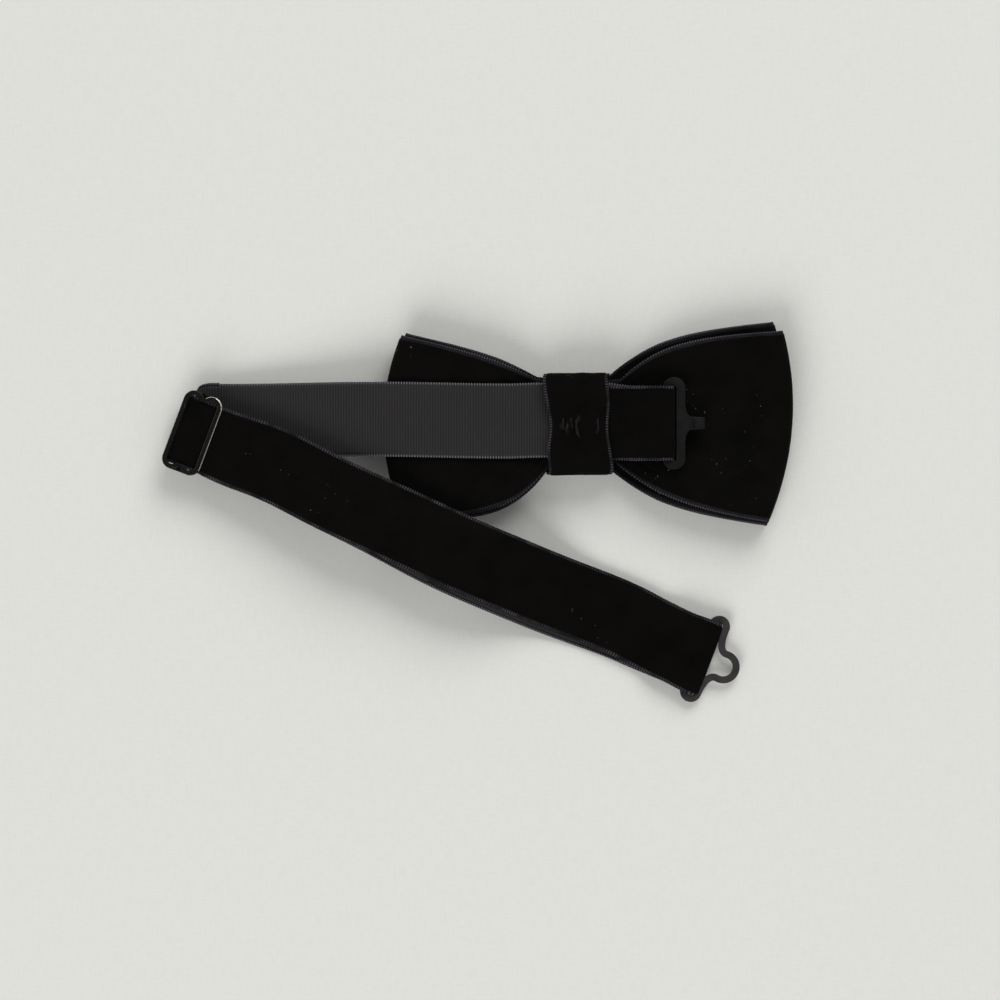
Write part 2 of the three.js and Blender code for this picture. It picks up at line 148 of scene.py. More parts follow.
# ---- materials ----
class Finish:
    """A material being put together: a principled shader and the nodes that feed it."""

    def __init__(self, name, **sockets):
        self.material = bpy.data.materials.new(name)
        self.material.use_nodes = True
        self.tree = self.material.node_tree
        self.shader = self.tree.nodes["Principled BSDF"]
        for socket, value in sockets.items():
            self.shader.inputs[socket.replace("_", " ")].default_value = value

    def node(self, kind, **settings):
        made = self.tree.nodes.new("ShaderNode" + kind)
        for key, value in settings.items():
            setattr(made, key, value)
        return made

    def link(self, source, target):
        self.tree.links.new(source, target)

    def feed(self, node, socket, value):
        if isinstance(value, bpy.types.NodeSocket):
            self.link(value, node.inputs[socket])
        else:
            node.inputs[socket].default_value = value

    def sums(self, operation, first, second=0.0, third=0.0):
        made = self.node("Math", operation=operation)
        for index, value in enumerate((first, second, third)):
            self.feed(made, index, value)
        return made.outputs[0]

    def ramp(self, value, low, high):
        """Nought at low and one at high, with an easy change between."""
        made = self.node("MapRange", interpolation_type="SMOOTHSTEP")
        self.feed(made, "Value", value)
        made.inputs["From Min"].default_value = low
        made.inputs["From Max"].default_value = high
        return made.outputs["Result"]

    def mix(self, share, first, second):
        made = self.node("Mix", data_type="RGBA")
        self.feed(made, 0, share)
        self.feed(made, 6, first)
        self.feed(made, 7, second)
        return made.outputs[2]

    def place(self):
        if not hasattr(self, "coordinates"):
            self.coordinates = self.node("TexCoord")
        return self.coordinates.outputs["Object"]

    def noise(self, size, detail=3.0, stretch=None):
        """Noise whose grains are about size millimetres across."""
        made = self.node("TexNoise")
        made.inputs["Scale"].default_value = 1 / (size * MM)
        made.inputs["Detail"].default_value = detail
        where = self.place()
        if stretch:
            mapping = self.node("Mapping")
            mapping.inputs["Scale"].default_value = stretch
            self.link(where, mapping.inputs["Vector"])
            where = mapping.outputs[0]
        self.link(where, made.inputs["Vector"])
        return made.outputs[0]

    def along_and_in(self):
        """Distance along the ribbon, and in from its nearer edge, in metres."""
        made = self.node("SeparateXYZ")
        self.place()
        self.link(self.coordinates.outputs["UV"], made.inputs[0])
        return made.outputs[0], made.outputs[1]

    def ribs(self, along, pitch):
        turned = self.sums("MULTIPLY", along, 2 * math.pi / (pitch * MM))
        wave = self.sums("SINE", turned)
        return self.sums("MULTIPLY_ADD", wave, 0.5, 0.5)

    def bump(self, height, depth, strength=1.0, below=None):
        made = self.node("Bump")
        made.inputs["Distance"].default_value = depth * MM
        made.inputs["Strength"].default_value = strength
        self.link(height, made.inputs["Height"])
        if below:
            self.link(below, made.inputs["Normal"])
        return made.outputs[0]

    def colour(self, value):
        self.feed(self.shader, "Base Color", value)

    def roughness(self, value):
        self.feed(self.shader, "Roughness", value)

    def normal(self, value):
        self.feed(self.shader, "Normal", value)


def velvet(name="black_velvet", thread=1.0, crease_highlight=False):
    """Black cut pile between woven edges, with a few bits of lint, and, where asked, a painted highlight
    beside the knot's creases.

    thread is how much of the pale ribs shows along the woven edges.
    """
    finish = Finish(name, Sheen_Weight=0.035, Sheen_Roughness=0.4, Specular_IOR_Level=0.04)
    finish.shader.inputs["Sheen Tint"].default_value = (0.5, 0.47, 0.5, 1)
    along, inward = finish.along_and_in()
    pile = finish.noise(0.16, 4)
    brushed = finish.noise(9, 3)
    shade = finish.sums("MULTIPLY_ADD", brushed, 0.6, pile)
    nap = finish.mix(finish.ramp(shade, 0.5, 1.1), *NAP)
    speck = finish.ramp(finish.noise(0.7, 0), 0.80, 0.84)
    drift = finish.ramp(finish.noise(17, 1), 0.60, 0.68)
    nap = finish.mix(finish.sums("MULTIPLY", speck, drift), nap, LINT)
    # painted highlight: the nap beside each crease is lightened where the pile would catch the light
    if crease_highlight:
        highlight_marks = finish.node("Attribute", attribute_name="crease_highlight")
        highlight_streak = finish.sums("MULTIPLY", highlight_marks.outputs["Fac"], finish.ramp(pile, 0.25, 0.6))
        nap = finish.mix(highlight_streak, nap, CREASE_HIGHLIGHT_NAP)
    tooth = finish.ribs(along, TOOTH_PITCH)
    worn = finish.ramp(finish.noise(5, 2), 0.3, 0.7)
    ribs = finish.sums("MULTIPLY", finish.sums("POWER", tooth, 2.0), worn)
    woven = finish.mix(finish.sums("MULTIPLY", ribs, thread), *SELVAGE_THREADS)
    edge = finish.ramp(inward, SELVAGE * 1.05 * MM, SELVAGE * 0.7 * MM)
    finish.colour(finish.mix(edge, nap, woven))
    finish.roughness(0.92)
    rib = finish.bump(finish.sums("MULTIPLY", tooth, edge), 0.14)
    finish.normal(finish.bump(pile, 0.1, 0.7, rib))
    return finish.material


def ribbon_back():
    """Charcoal ribbon back, ribbed crosswise, with paler teeth along its edges."""
    finish = Finish("charcoal_ribbon_back", Sheen_Weight=0.05, Specular_IOR_Level=0.3)
    along, inward = finish.along_and_in()
    tooth = finish.ribs(along, TOOTH_PITCH)
    fine = finish.ribs(inward, 0.42)
    yarn = finish.noise(0.3, 3, (0.25, 1, 1))
    uneven = finish.noise(6, 3)
    ground = finish.mix(finish.ramp(uneven, 0.3, 0.7), *BACK_GROUND)
    ribbed = finish.mix(finish.sums("MULTIPLY", tooth, 0.8), ground, BACK_RIB)
    ribbed = finish.mix(finish.sums("MULTIPLY", fine, 0.18), ribbed, BACK_LINE)
    pale = finish.mix(finish.sums("POWER", tooth, 3.0), *BACK_TEETH)
    edge = finish.ramp(inward, 0.72 * MM, 0.3 * MM)
    finish.colour(finish.mix(edge, ribbed, pale))
    finish.roughness(finish.sums("MULTIPLY_ADD", yarn, 0.2, 0.55))
    rib = finish.bump(tooth, 0.12)
    finish.normal(finish.bump(yarn, 0.05, 0.6, rib))
    return finish.material


def painted_metal(name, dark, light, worn):
    """Matt paint on the hook or the eye, a little speckled and worn."""
    finish = Finish(name, Metallic=0.0, Specular_IOR_Level=0.14)
    fine = finish.noise(0.35, 5)
    patch = finish.noise(3.2, 3)
    paint = finish.mix(finish.ramp(patch, 0.35, 0.7), dark, light)
    finish.colour(finish.mix(finish.ramp(fine, 0.62, 0.78), paint, worn))
    finish.roughness(finish.sums("MULTIPLY_ADD", fine, 0.25, 0.45))
    finish.normal(finish.bump(fine, 0.03, 0.5))
    return finish.material


def slider_paint():
    """Black paint on the slider, with faint brown scratches."""
    finish = Finish("black_slider_paint", Metallic=0.0, Specular_IOR_Level=0.16)
    fine = finish.noise(0.3, 5)
    scratch = finish.noise(0.5, 2, (1, 0.08, 1))
    base = finish.mix(finish.ramp(fine, 0.4, 0.8), *SLIDER_COLOURS)
    finish.colour(finish.mix(finish.ramp(scratch, 0.66, 0.74), base, SCRATCH))
    finish.roughness(finish.sums("MULTIPLY_ADD", fine, 0.25, 0.36))
    finish.normal(finish.bump(fine, 0.02, 0.4))
    return finish.material


def edge_highlight_metal(name, dark, light):
    """Painted highlight along the slider's edges, given a metal finish."""
    finish = Finish(name, Metallic=0.6)
    fine = finish.noise(0.4, 4)
    finish.colour(finish.mix(finish.ramp(fine, 0.35, 0.7), dark, light))
    finish.roughness(finish.sums("MULTIPLY_ADD", fine, 0.3, 0.25))
    return finish.material


def sewing_thread():
    """Black twisted thread."""
    finish = Finish("black_thread", Sheen_Weight=0.08, Specular_IOR_Level=0.2)
    strand = finish.noise(0.22, 4)
    finish.colour(finish.mix(finish.ramp(strand, 0.35, 0.7), *THREAD_COLOURS))
    finish.roughness(0.8)
    finish.normal(finish.bump(strand, 0.06))
    return finish.material


def pale_linen():
    """Plain pale cloth on the table."""
    finish = Finish("pale_linen", Specular_IOR_Level=0.1)
    warp = finish.noise(0.6, 2, (1, 0.12, 1))
    weft = finish.noise(0.6, 2, (0.2, 1, 1))
    weave = finish.sums("ADD", warp, weft)
    shade = finish.ramp(weave, 0.7, 1.3)
    finish.colour(finish.mix(shade, *LINEN_COLOURS))
    finish.roughness(0.9)
    finish.normal(finish.bump(weave, 0.05, 0.25))
    return finish.material


VELVET = velvet()
# the knot's velvet carries a painted highlight beside its creases
KNOT_VELVET = velvet("black_velvet_of_the_knot", 0.8, crease_highlight=True)
BOW_VELVET = velvet("black_velvet_of_the_bow", 0.22)
BACK = ribbon_back()
HOOK_PAINT = painted_metal("dark_hook_paint", *HOOK_COLOURS)
# the eye's paint is lighter than the hook's as painted reflection
EYE_PAINT_WITH_PAINTED_REFLECTION = painted_metal("eye_paint_with_painted_reflection", *EYE_COLOURS_WITH_PAINTED_REFLECTION)
SLIDER_BLACK = slider_paint()
# painted highlights along the slider's edges, drawn as metal
PAINTED_EDGE_HIGHLIGHT = edge_highlight_metal("painted_bright_edge_highlight", *BRIGHT_EDGE_HIGHLIGHT)
PAINTED_DULL_EDGE_HIGHLIGHT = edge_highlight_metal("painted_dull_edge_highlight", *DULL_EDGE_HIGHLIGHT)
THREAD = sewing_thread()
LINEN = pale_linen()


# ---- routes ----
class Route:
    """A line drawn in an upright plane, as (distance along the ground, height)."""

    def __init__(self, x, z):
        self.points = [Vector((x, z))]

    def line(self, x, z):
        self.points.append(Vector((x, z)))
        return self

    def bezier(self, first, second, end, steps=28):
        start = self.points[-1].copy()
        first, second, end = Vector(first), Vector(second), Vector(end)
        for k in range(1, steps + 1):
            t = k / steps
            u = 1 - t
            self.points.append(start * u**3 + first * 3 * u * u * t + second * 3 * u * t * t + end * t**3)
        return self

    def ease(self, x, z):
        """An easy S to another height, level at both ends."""
        from_x, from_z = self.points[-1]
        middle = (from_x + x) / 2
        return self.bezier((middle, from_z), (middle, z), (x, z))

    def arc(self, x, z, radius, start, end, steps=28):
        for k in range(steps + 1):
            turn = math.radians(start + (end - start) * k / steps)
            self.points.append(Vector((x + radius * math.cos(turn), z + radius * math.sin(turn))))
        return self

    def rows(self, step):
        """Evenly spaced places on the route, and how far along it each one is."""
        points = np.array([list(point) for point in self.points])
        keep = np.append(True, np.linalg.norm(np.diff(points, axis=0), axis=1) > 1e-6)
        points = points[keep]
        gone = np.append(0, np.cumsum(np.linalg.norm(np.diff(points, axis=0), axis=1)))
        count = max(2, round(gone[-1] / step))
        at = np.linspace(0, gone[-1], count + 1)
        return np.stack([np.interp(at, gone, points[:, k]) for k in (0, 1)], axis=1), at


# ---- ways of making pieces ----
def only(piece):
    bpy.ops.object.select_all(action="DESELECT")
    piece.select_set(True)
    bpy.context.view_layer.objects.active = piece


def apply(piece, kind, **settings):
    modifier = piece.modifiers.new(kind.lower(), kind)
    for key, value in settings.items():
        setattr(modifier, key, value)
    only(piece)
    bpy.ops.object.modifier_apply(modifier=modifier.name)


def smooth(piece, degrees=40):
    only(piece)
    bpy.ops.object.shade_smooth_by_angle(angle=math.radians(degrees))


def columns(width, gap=1.9):
    """Places across a ribbon, close together in its woven edges and wider between them."""
    half = width / 2
    edge = [0, 0.22, 0.5, 0.85, SELVAGE, SELVAGE + 0.25, SELVAGE + 0.8]
    inner = half - edge[-1]
    count = max(2, round(2 * inner / gap))
    middle = np.linspace(-inner, inner, count + 1)
    outer = half - np.array(edge[:-1])
    return np.concatenate([-outer, middle, outer[::-1]])


def sheet_of(name, rows, across, width, place_of, upper, lower, thickness=PILE):
    """A ribbon: a grid whose points are laid by place_of(row, across), then thickened.

    The woven edges are thinner than the pile between them, and stand out in fine teeth.
    """
    bpy.ops.object.select_all(action="DESELECT")
    bpy.ops.mesh.primitive_grid_add(
        x_subdivisions=len(rows) - 1, y_subdivisions=len(across) - 1, size=1, location=(0, 0, 0)
    )
    piece = bpy.context.object
    piece.name = name
    mesh = piece.data
    flat = np.zeros(len(mesh.vertices) * 3)
    mesh.vertices.foreach_get("co", flat)
    flat = flat.reshape(-1, 3)
    row = np.rint((flat[:, 0] + 0.5) * (len(rows) - 1)).astype(int)
    column = np.rint((flat[:, 1] + 0.5) * (len(across) - 1)).astype(int)
    inward = width / 2 - np.abs(across[column])
    tooth = 0.5 + 0.5 * np.sin(2 * math.pi * rows[row] / TOOTH_PITCH)
    reach = TOOTH_DEPTH * tooth * np.clip(1 - inward / TOOTH_FADE, 0, 1)
    side = across[column] + np.sign(across[column]) * reach
    points = place_of(row, rows[row], side)
    mesh.vertices.foreach_set("co", (points * MM).ravel())
    corner = np.zeros(len(mesh.loops), int)
    mesh.loops.foreach_get("vertex_index", corner)
    chart = np.stack([rows[row][corner], inward[corner]], axis=1) * MM
    mesh.uv_layers[0].data.foreach_set("uv", chart.ravel())
    group = piece.vertex_groups.new(name="pile")
    for index in range(len(across)):
        gap = width / 2 - abs(across[index])
        share = min(1.0, max(0.0, (gap - SELVAGE * 0.7) / (SELVAGE * 0.5)))
        group.add(np.flatnonzero(column == index).tolist(), share, "REPLACE")
    mesh.materials.append(upper)
    mesh.materials.append(lower)
    apply(
        piece,
        "SOLIDIFY",
        thickness=thickness * MM,
        offset=0,
        vertex_group="pile",
        thickness_vertex_group=SELVAGE_SHARE,
        material_offset=1,
        use_even_offset=False,
    )
    piece.vertex_groups.clear()
    smooth(piece, 60)
    return piece


def laid(route_points, turned):
    """Returns place_of for a ribbon whose middle follows route_points, turned into its place."""

    def place_of(row, gone, side):
        local = np.stack([route_points[row, 0], side, route_points[row, 1]], axis=1)
        return local @ turned[0].T + turned[1]

    return place_of


def turn_and_move(move, pitch=0.0, yaw=0.0):
    matrix = np.array(Matrix.Rotation(yaw, 3, "Z") @ Matrix.Rotation(pitch, 3, "Y"))
    return matrix, np.array(move, float)


def stamped(name, outlines, thickness, bevel, stand=False):
    """A flat plate with rounded edges, from its outline and its holes. stand turns it on edge."""
    curve = bpy.data.curves.new(name, "CURVE")
    curve.dimensions = "2D"
    curve.fill_mode = "BOTH"
    curve.extrude = (thickness / 2 - bevel) * MM
    curve.bevel_depth = bevel * MM
    curve.bevel_resolution = 2
    curve.offset = -bevel * MM
    for outline in outlines:
        spline = curve.splines.new("POLY")
        spline.points.add(len(outline) - 1)
        for point, (x, y) in zip(spline.points, outline):
            point.co = (x * MM, y * MM, 0, 1)
        spline.use_cyclic_u = True
    piece = bpy.data.objects.new(name, curve)
    bpy.context.scene.collection.objects.link(piece)
    only(piece)
    bpy.ops.object.convert(target="MESH")
    bpy.ops.object.mode_set(mode="EDIT")
    bpy.ops.mesh.select_all(action="SELECT")
    bpy.ops.mesh.remove_doubles(threshold=0.00001)
    bpy.ops.mesh.normals_make_consistent(inside=False)
    bpy.ops.object.mode_set(mode="OBJECT")
    if stand:
        piece.data.transform(Matrix.Rotation(math.pi / 2, 4, "X"))
    return piece


def united(whole, others):
    for other in others:
        apply(whole, "BOOLEAN", operation="UNION", solver="EXACT", object=other)
        bpy.data.objects.remove(other)


def block(name, size, middle):
    """A small bar with eased edges."""
    bpy.ops.object.select_all(action="DESELECT")
    bpy.ops.mesh.primitive_cube_add(size=1, location=[m * MM for m in middle])
    piece = bpy.context.object
    piece.name = name
    piece.scale = [s * MM for s in size]
    bpy.ops.object.transform_apply(location=True, rotation=True, scale=True)
    apply(piece, "BEVEL", width=0.18 * MM, segments=3)
    return piece


def finish_metal(piece, material, matrix):
    piece.data.transform(matrix)
    piece.data.materials.clear()
    piece.data.materials.append(material)
    smooth(piece, 35)


def arc_points(x, y, radius, start, end, steps=14):
    return [
        (x + radius * math.cos(start + (end - start) * k / steps),
         y + radius * math.sin(start + (end - start) * k / steps))
        for k in range(steps + 1)
    ]


def bezier_points(start, first, second, end, steps=14):
    route = Route(*start).bezier(first, second, end, steps)
    return [tuple(point) for point in route.points]


def rounded_rectangle(x0, x1, half, radius):
    quarter = math.pi / 2
    return (
        arc_points(x1 - radius, half - radius, radius, 0, quarter)
        + arc_points(x0 + radius, half - radius, radius, quarter, 2 * quarter)
        + arc_points(x0 + radius, radius - half, radius, 2 * quarter, 3 * quarter)
        + arc_points(x1 - radius, radius - half, radius, 3 * quarter, 4 * quarter)
    )


def twisted(name, points, radius=0.24):
    """Thread of two plies twisted together along a line of points, in millimetres."""
    points = np.array(points, float)
    gone = np.append(0, np.cumsum(np.linalg.norm(np.diff(points, axis=0), axis=1)))
    at = np.linspace(0, gone[-1], max(8, round(gone[-1] / 0.22)))
    line = np.stack([np.interp(at, gone, points[:, k]) for k in range(3)], axis=1)
    along = np.gradient(line, axis=0)
    along /= np.linalg.norm(along, axis=1)[:, None]
    up = np.where(np.abs(along[:, 2:3]) > 0.9, [[1.0, 0, 0]], [[0.0, 0, 1]])
    first = np.cross(along, up)
    first /= np.linalg.norm(first, axis=1)[:, None]
    second = np.cross(along, first)
    plies = []
    for start in (0, math.pi):
        turn = (2 * math.pi * at / 1.3 + start)[:, None]
        ply = line + 0.5 * radius * (first * np.cos(turn) + second * np.sin(turn))
        curve = bpy.data.curves.new(name, "CURVE")
        curve.dimensions = "3D"
        curve.bevel_depth = 0.55 * radius * MM
        curve.bevel_resolution = 2
        curve.use_fill_caps = True
        spline = curve.splines.new("POLY")
        spline.points.add(len(ply) - 1)
        for point, place in zip(spline.points, ply):
            point.co = (*[c * MM for c in place], 1)
        piece = bpy.data.objects.new(name, curve)
        bpy.context.scene.collection.objects.link(piece)
        only(piece)
        bpy.ops.object.convert(target="MESH")
        bpy.ops.object.mode_set(mode="EDIT")
        bpy.ops.mesh.select_all(action="SELECT")
        bpy.ops.mesh.remove_doubles(threshold=0.000002)
        bpy.ops.mesh.normals_make_consistent(inside=False)
        bpy.ops.object.mode_set(mode="OBJECT")
        plies.append(piece)
    only(plies[0])
    plies[1].select_set(True)
    bpy.ops.object.join()
    plies[0].name = name
    plies[0].data.materials.append(THREAD)
    smooth(plies[0], 50)
    return plies[0]


# ---- camera, light and table ----
LENS = 364.5
CAMERA_PLACE = (-0.0231, -0.0225, 3.006)
LAMP_SIZE = 1.8
LAMPS = {"low_side_light": ((-0.7, -1.9, 1.5), 33.0), "high_side_light": ((0.7, 1.9, 1.6), 38.0)}
CEILING_STARTS, CEILING_FULL = 0.6, 0.9  # upward part of a direction at the ceiling's edge
WALL_LIGHT, CEILING_LIGHT = 0.54, 0.14


def camera():
    view = bpy.data.cameras.new("camera")
    view.sensor_width = 36
    view.lens = LENS
    view.clip_end = 10
    stand = bpy.data.objects.new("camera", view)
    stand.location = CAMERA_PLACE
    bpy.context.scene.collection.objects.link(stand)
    bpy.context.scene.camera = stand


def soft_light(name, place, power):
    lamp = bpy.data.lights.new(name, "AREA")
    lamp.shape = "DISK"
    lamp.size = LAMP_SIZE
    lamp.energy = power
    light = bpy.data.objects.new(name, lamp)
    light.location = place
    light.rotation_euler = (-Vector(place)).to_track_quat("-Z", "Y").to_euler()
    bpy.context.scene.collection.objects.link(light)


def studio():
    for name, (place, power) in LAMPS.items():
        soft_light(name, place, power)
    world = bpy.data.worlds.new("room_with_a_dark_ceiling")
    world.use_nodes = True
    nodes, links = world.node_tree.nodes, world.node_tree.links
    nodes["Background"].inputs[0].default_value = (1, 1, 1, 1)
    direction = nodes.new("ShaderNodeTexCoord")
    height = nodes.new("ShaderNodeSeparateXYZ")
    level = nodes.new("ShaderNodeMapRange")
    level.interpolation_type = "SMOOTHSTEP"
    level.inputs["From Min"].default_value = CEILING_STARTS
    level.inputs["From Max"].default_value = CEILING_FULL
    level.inputs["To Min"].default_value = WALL_LIGHT
    level.inputs["To Max"].default_value = CEILING_LIGHT
    links.new(direction.outputs["Generated"], height.inputs[0])
    links.new(height.outputs["Z"], level.inputs["Value"])
    links.new(level.outputs["Result"], nodes["Background"].inputs[1])
    bpy.context.scene.world = world
    bpy.context.scene.view_settings.view_transform = "Standard"


def table():
    bpy.ops.object.select_all(action="DESELECT")
    bpy.ops.mesh.primitive_plane_add(size=6, location=(0, 0, 0))
    floor = bpy.context.object
    floor.name = "table_cloth"
    floor.data.materials.append(LINEN)


# ---- bow loops ----
class Edge:
    """Where one long edge of a loop runs: how far it stands from the middle at each distance out."""

    def __init__(self, full, drop, start, flare):
        self.full, self.drop, self.start, self.flare = full, drop, start, flare

    def at(self, out):
        return self.full - self.drop * np.exp(-np.maximum(0, out - self.start) / self.flare)


def loop_route(waist_low, waist_high, low, high, right, left):
    """Once round a loop, from the middle of its upper layer, where its two ends meet."""
    radius = (high - low) / 2
    middle = (high + low) / 2
    right_turn = right - radius - PILE / 2
    left_turn = -left + radius + PILE / 2
    route = Route(0.15, waist_high).line(WAIST, waist_high).ease(LOOP_OPEN, high)
    route.line(right_turn, high).arc(right_turn, middle, radius, 90, -90)
    route.line(LOOP_OPEN, low).ease(WAIST, waist_low).line(-WAIST, waist_low)
    route.ease(-LOOP_OPEN, low).line(left_turn, low).arc(left_turn, middle, radius, 270, 90)
    route.line(-LOOP_OPEN, high).ease(-WAIST, waist_high).line(-0.15, waist_high)
    return route


def bow_loop(name, node, route, edges, ends, splay):
    """One ribbon gathered at the waist and pleated there.

    splay is how far its lower layer stands out past the upper one. ends says how each folded
    end is curved: how much, about which height, and at what distance out.
    """
    points, rows = route.rows(BOW_STEP)
    flat_half = BOW_RIBBON / 2
    middle_z = (points[:, 1].max() + points[:, 1].min()) / 2

    def place_of(row, gone, side):
        x, z = points[row, 0], points[row, 1]
        out = np.abs(x)
        above = side > 0
        right = x > 0
        half = np.where(
            right,
            np.where(above, edges["right_top"].at(out), edges["right_bottom"].at(out)),
            np.where(above, edges["left_top"].at(out), edges["left_bottom"].at(out)),
        )
        lower = z < middle_z
        half = half + np.where(lower, splay, 0) * np.clip((out - WAIST) / 14, 0, 1)
        flat = np.abs(side)
        inward = flat_half - flat
        gathered = (half - HEM) / (flat_half - HEM)
        height = np.where(inward < HEM, half - inward, flat * gathered) * np.sign(side)
        slack = np.clip(1 - gathered, 0, 1)
        pleat = 0.5 - 0.5 * np.cos(2 * math.pi * (flat / PLEAT + 0.11 * np.sin(out / 5)))
        rise = np.clip((out - WAIST + 1) / 5, 0, 1) * np.exp(-np.maximum(0, out - 14) / 9)
        depth = np.where(lower, FRONT_PLEAT_DEPTH, BACK_PLEAT_DEPTH) * rise * slack * 1.7
        z = z - pleat * depth * np.clip(inward / HEM, 0, 1)
        bend, shift, length = ends["right"]
        left_bend, left_shift, left_length = ends["left"]
        back = np.where(
            right,
            bend * (height - shift) ** 2 * (out / length) ** 3,
            left_bend * (height - left_shift) ** 2 * (out / left_length) ** 3,
        )
        ripple = 0.12 * np.sin(gone / 7.3) * np.clip((out - 14) / 10, 0, 1)
        return np.stack([x - np.sign(x) * back, height + ripple * np.sign(side), z], axis=1)

    piece = sheet_of(name, rows, columns(BOW_RIBBON, BOW_GAP), BOW_RIBBON, place_of, BOW_VELVET, BACK)
    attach(piece, "bow")
    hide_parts(node)


def loops():
    bow_loop(
        "front_loop_cloth",
        "front_loop",
        loop_route(2.1, 4.1, PILE / 2, 4.6, RIGHT_END - 1.5, LEFT_END - 1),
        {
            "right_top": Edge(30.6, 16.5, 9, 19),
            "right_bottom": Edge(31.0, 18.0, 9, 22),
            "left_top": Edge(31.0, 17.2, 12, 34),
            "left_bottom": Edge(28.6, 15.1, 9, 10.5),
        },
        {"right": (0.0056, 3, 62.2), "left": (0.0078, 0, 56.7)},
        0.6,
    )
    bow_loop(
        "back_loop_cloth",
        "back_loop",
        loop_route(6.1, 8.1, 5.7, 9.9, RIGHT_END, LEFT_END),
        {
            "right_top": Edge(27.5, 14.5, 12.6, 15),
            "right_bottom": Edge(30.4, 19.1, 11, 23),
            "left_top": Edge(30.4, 17.4, 12, 35),
            "left_bottom": Edge(28.0, 15.1, 9, 11),
        },
        {"right": (0.0062, 5.6, 63.7), "left": (0.0078, 0, 57.7)},
        0.5,
    )


# ---- knot ----
TACKS = (-4.4, -0.6, 5.9)  # where the tack stitches draw the knot's back in
# Each painted crease highlight: its place, how far its ends curve out, and its lower and upper ends.
CREASE_HIGHLIGHTS = (
    (-3.3, 0.3, -3.6, 1.0),
    (-0.4, 0.8, -4.6, 3.2),
    (-1.9, -0.6, -1.4, 2.2),
    (5.8, -0.2, -3.0, 1.8),
    (-4.9, 0.2, -2.4, 0.6),
)
KNOT_GAP = 0.35  # distance between columns of the knot's mesh
KNOT_SKEW = 0.05
CREASE_DEPTH = 0.75
STITCH_HALF = 1.6
STITCH_RISE = 0.42
KNOT_HALF = 14.7
KNOT_BACK = 12.2
KNOT_CORNER = 2.0


def round_the_waist(half, low, high, corner):
    """Once round the gathered middle, across the bow, with rounded corners."""
    side = half - corner
    route = Route(0, high).line(side, high).arc(side, high - corner, corner, 90, 0)
    route.line(half, low + corner).arc(side, low + corner, corner, 0, -90)
    route.line(-side, low).arc(-side, low + corner, corner, 270, 180)
    return route.line(-half, high - corner).arc(-side, high - corner, corner, 180, 90).line(0, high)


def knot():
    points, rows = round_the_waist(KNOT_HALF, PILE / 2, KNOT_BACK, KNOT_CORNER).rows(STEP)

    def place_of(row, gone, side):
        y, z = points[row, 0], points[row, 1]
        x = -side
        on_back = np.clip((z - KNOT_BACK + 3) / 3, 0, 1)
        drawn = np.exp(-((y + 0.6) / 5.5) ** 2) * on_back
        x = x + drawn * np.where(x < 0, 1.3, -0.7) * (np.abs(x) / 9.5) ** 2
        x = x + 0.25 * np.sin(y / 3.1) * (np.abs(x) / 9.5)
        for tack in TACKS:
            crease = np.exp(-(((x - tack - 0.35 * np.sin(y / 1.6)) / 0.55) ** 2))
            z = z - CREASE_DEPTH * crease * np.exp(-((y + 0.7) / 2.9) ** 2) * on_back
            swell = np.exp(-(((x - tack - 1.5) / 1.2) ** 2)) * np.exp(-((y + 0.7) / 3.4) ** 2)
            z = z + 0.22 * swell * on_back
        z = z + 0.2 * np.sin(y / 2.3 + x / 4) * on_back * np.clip((13 - np.abs(y)) / 4, 0, 1)
        soft = 0.16 * np.sin(x / 1.9 + 1) + 0.1 * np.sin(x / 0.9)
        y = y + (KNOT_SKEW * x + soft * np.clip(np.abs(y) / 13, 0, 1)) * on_back
        x = x - KNOT_SKEW * y * on_back
        return np.stack([x, y, z], axis=1)

    across = columns(KNOT_RIBBON, KNOT_GAP)
    piece = sheet_of("knot_wrap_cloth", rows, across, KNOT_RIBBON, place_of, KNOT_VELVET, BACK)
    # marks the painted highlights beside the knot's creases
    paint_crease_highlights(piece)
    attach(piece, "bow")
    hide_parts("knot_wrap")


def paint_crease_highlights(piece):
    """Marks where a painted highlight lightens the pile beside each crease on the knot's back."""
    points = np.zeros(len(piece.data.vertices) * 3)
    piece.data.vertices.foreach_get("co", points)
    x, y, z = points.reshape(-1, 3).T / MM
    highlight_marks = np.zeros(len(x))
    for tack, bow, low, high in CREASE_HIGHLIGHTS:
        line = tack + bow * ((y + 0.7) / 3.6) ** 2 + 0.16 * np.sin(2.3 * y + 5 * tack)
        beside = np.exp(-(((x - line) / 0.24) ** 2)) * (0.65 + 0.35 * np.sin(1.7 * y + tack))
        length = np.clip((y - low) / 1.2, 0, 1) * np.clip((high - y) / 1.2, 0, 1)
        highlight_marks = np.maximum(highlight_marks, beside * length)
    highlight_marks *= np.clip((z - KNOT_BACK + 2) / 1, 0, 1)
    crease_highlight = piece.data.attributes.new("crease_highlight", "FLOAT", "POINT")
    crease_highlight.data.foreach_set("value", highlight_marks.astype(np.float32))


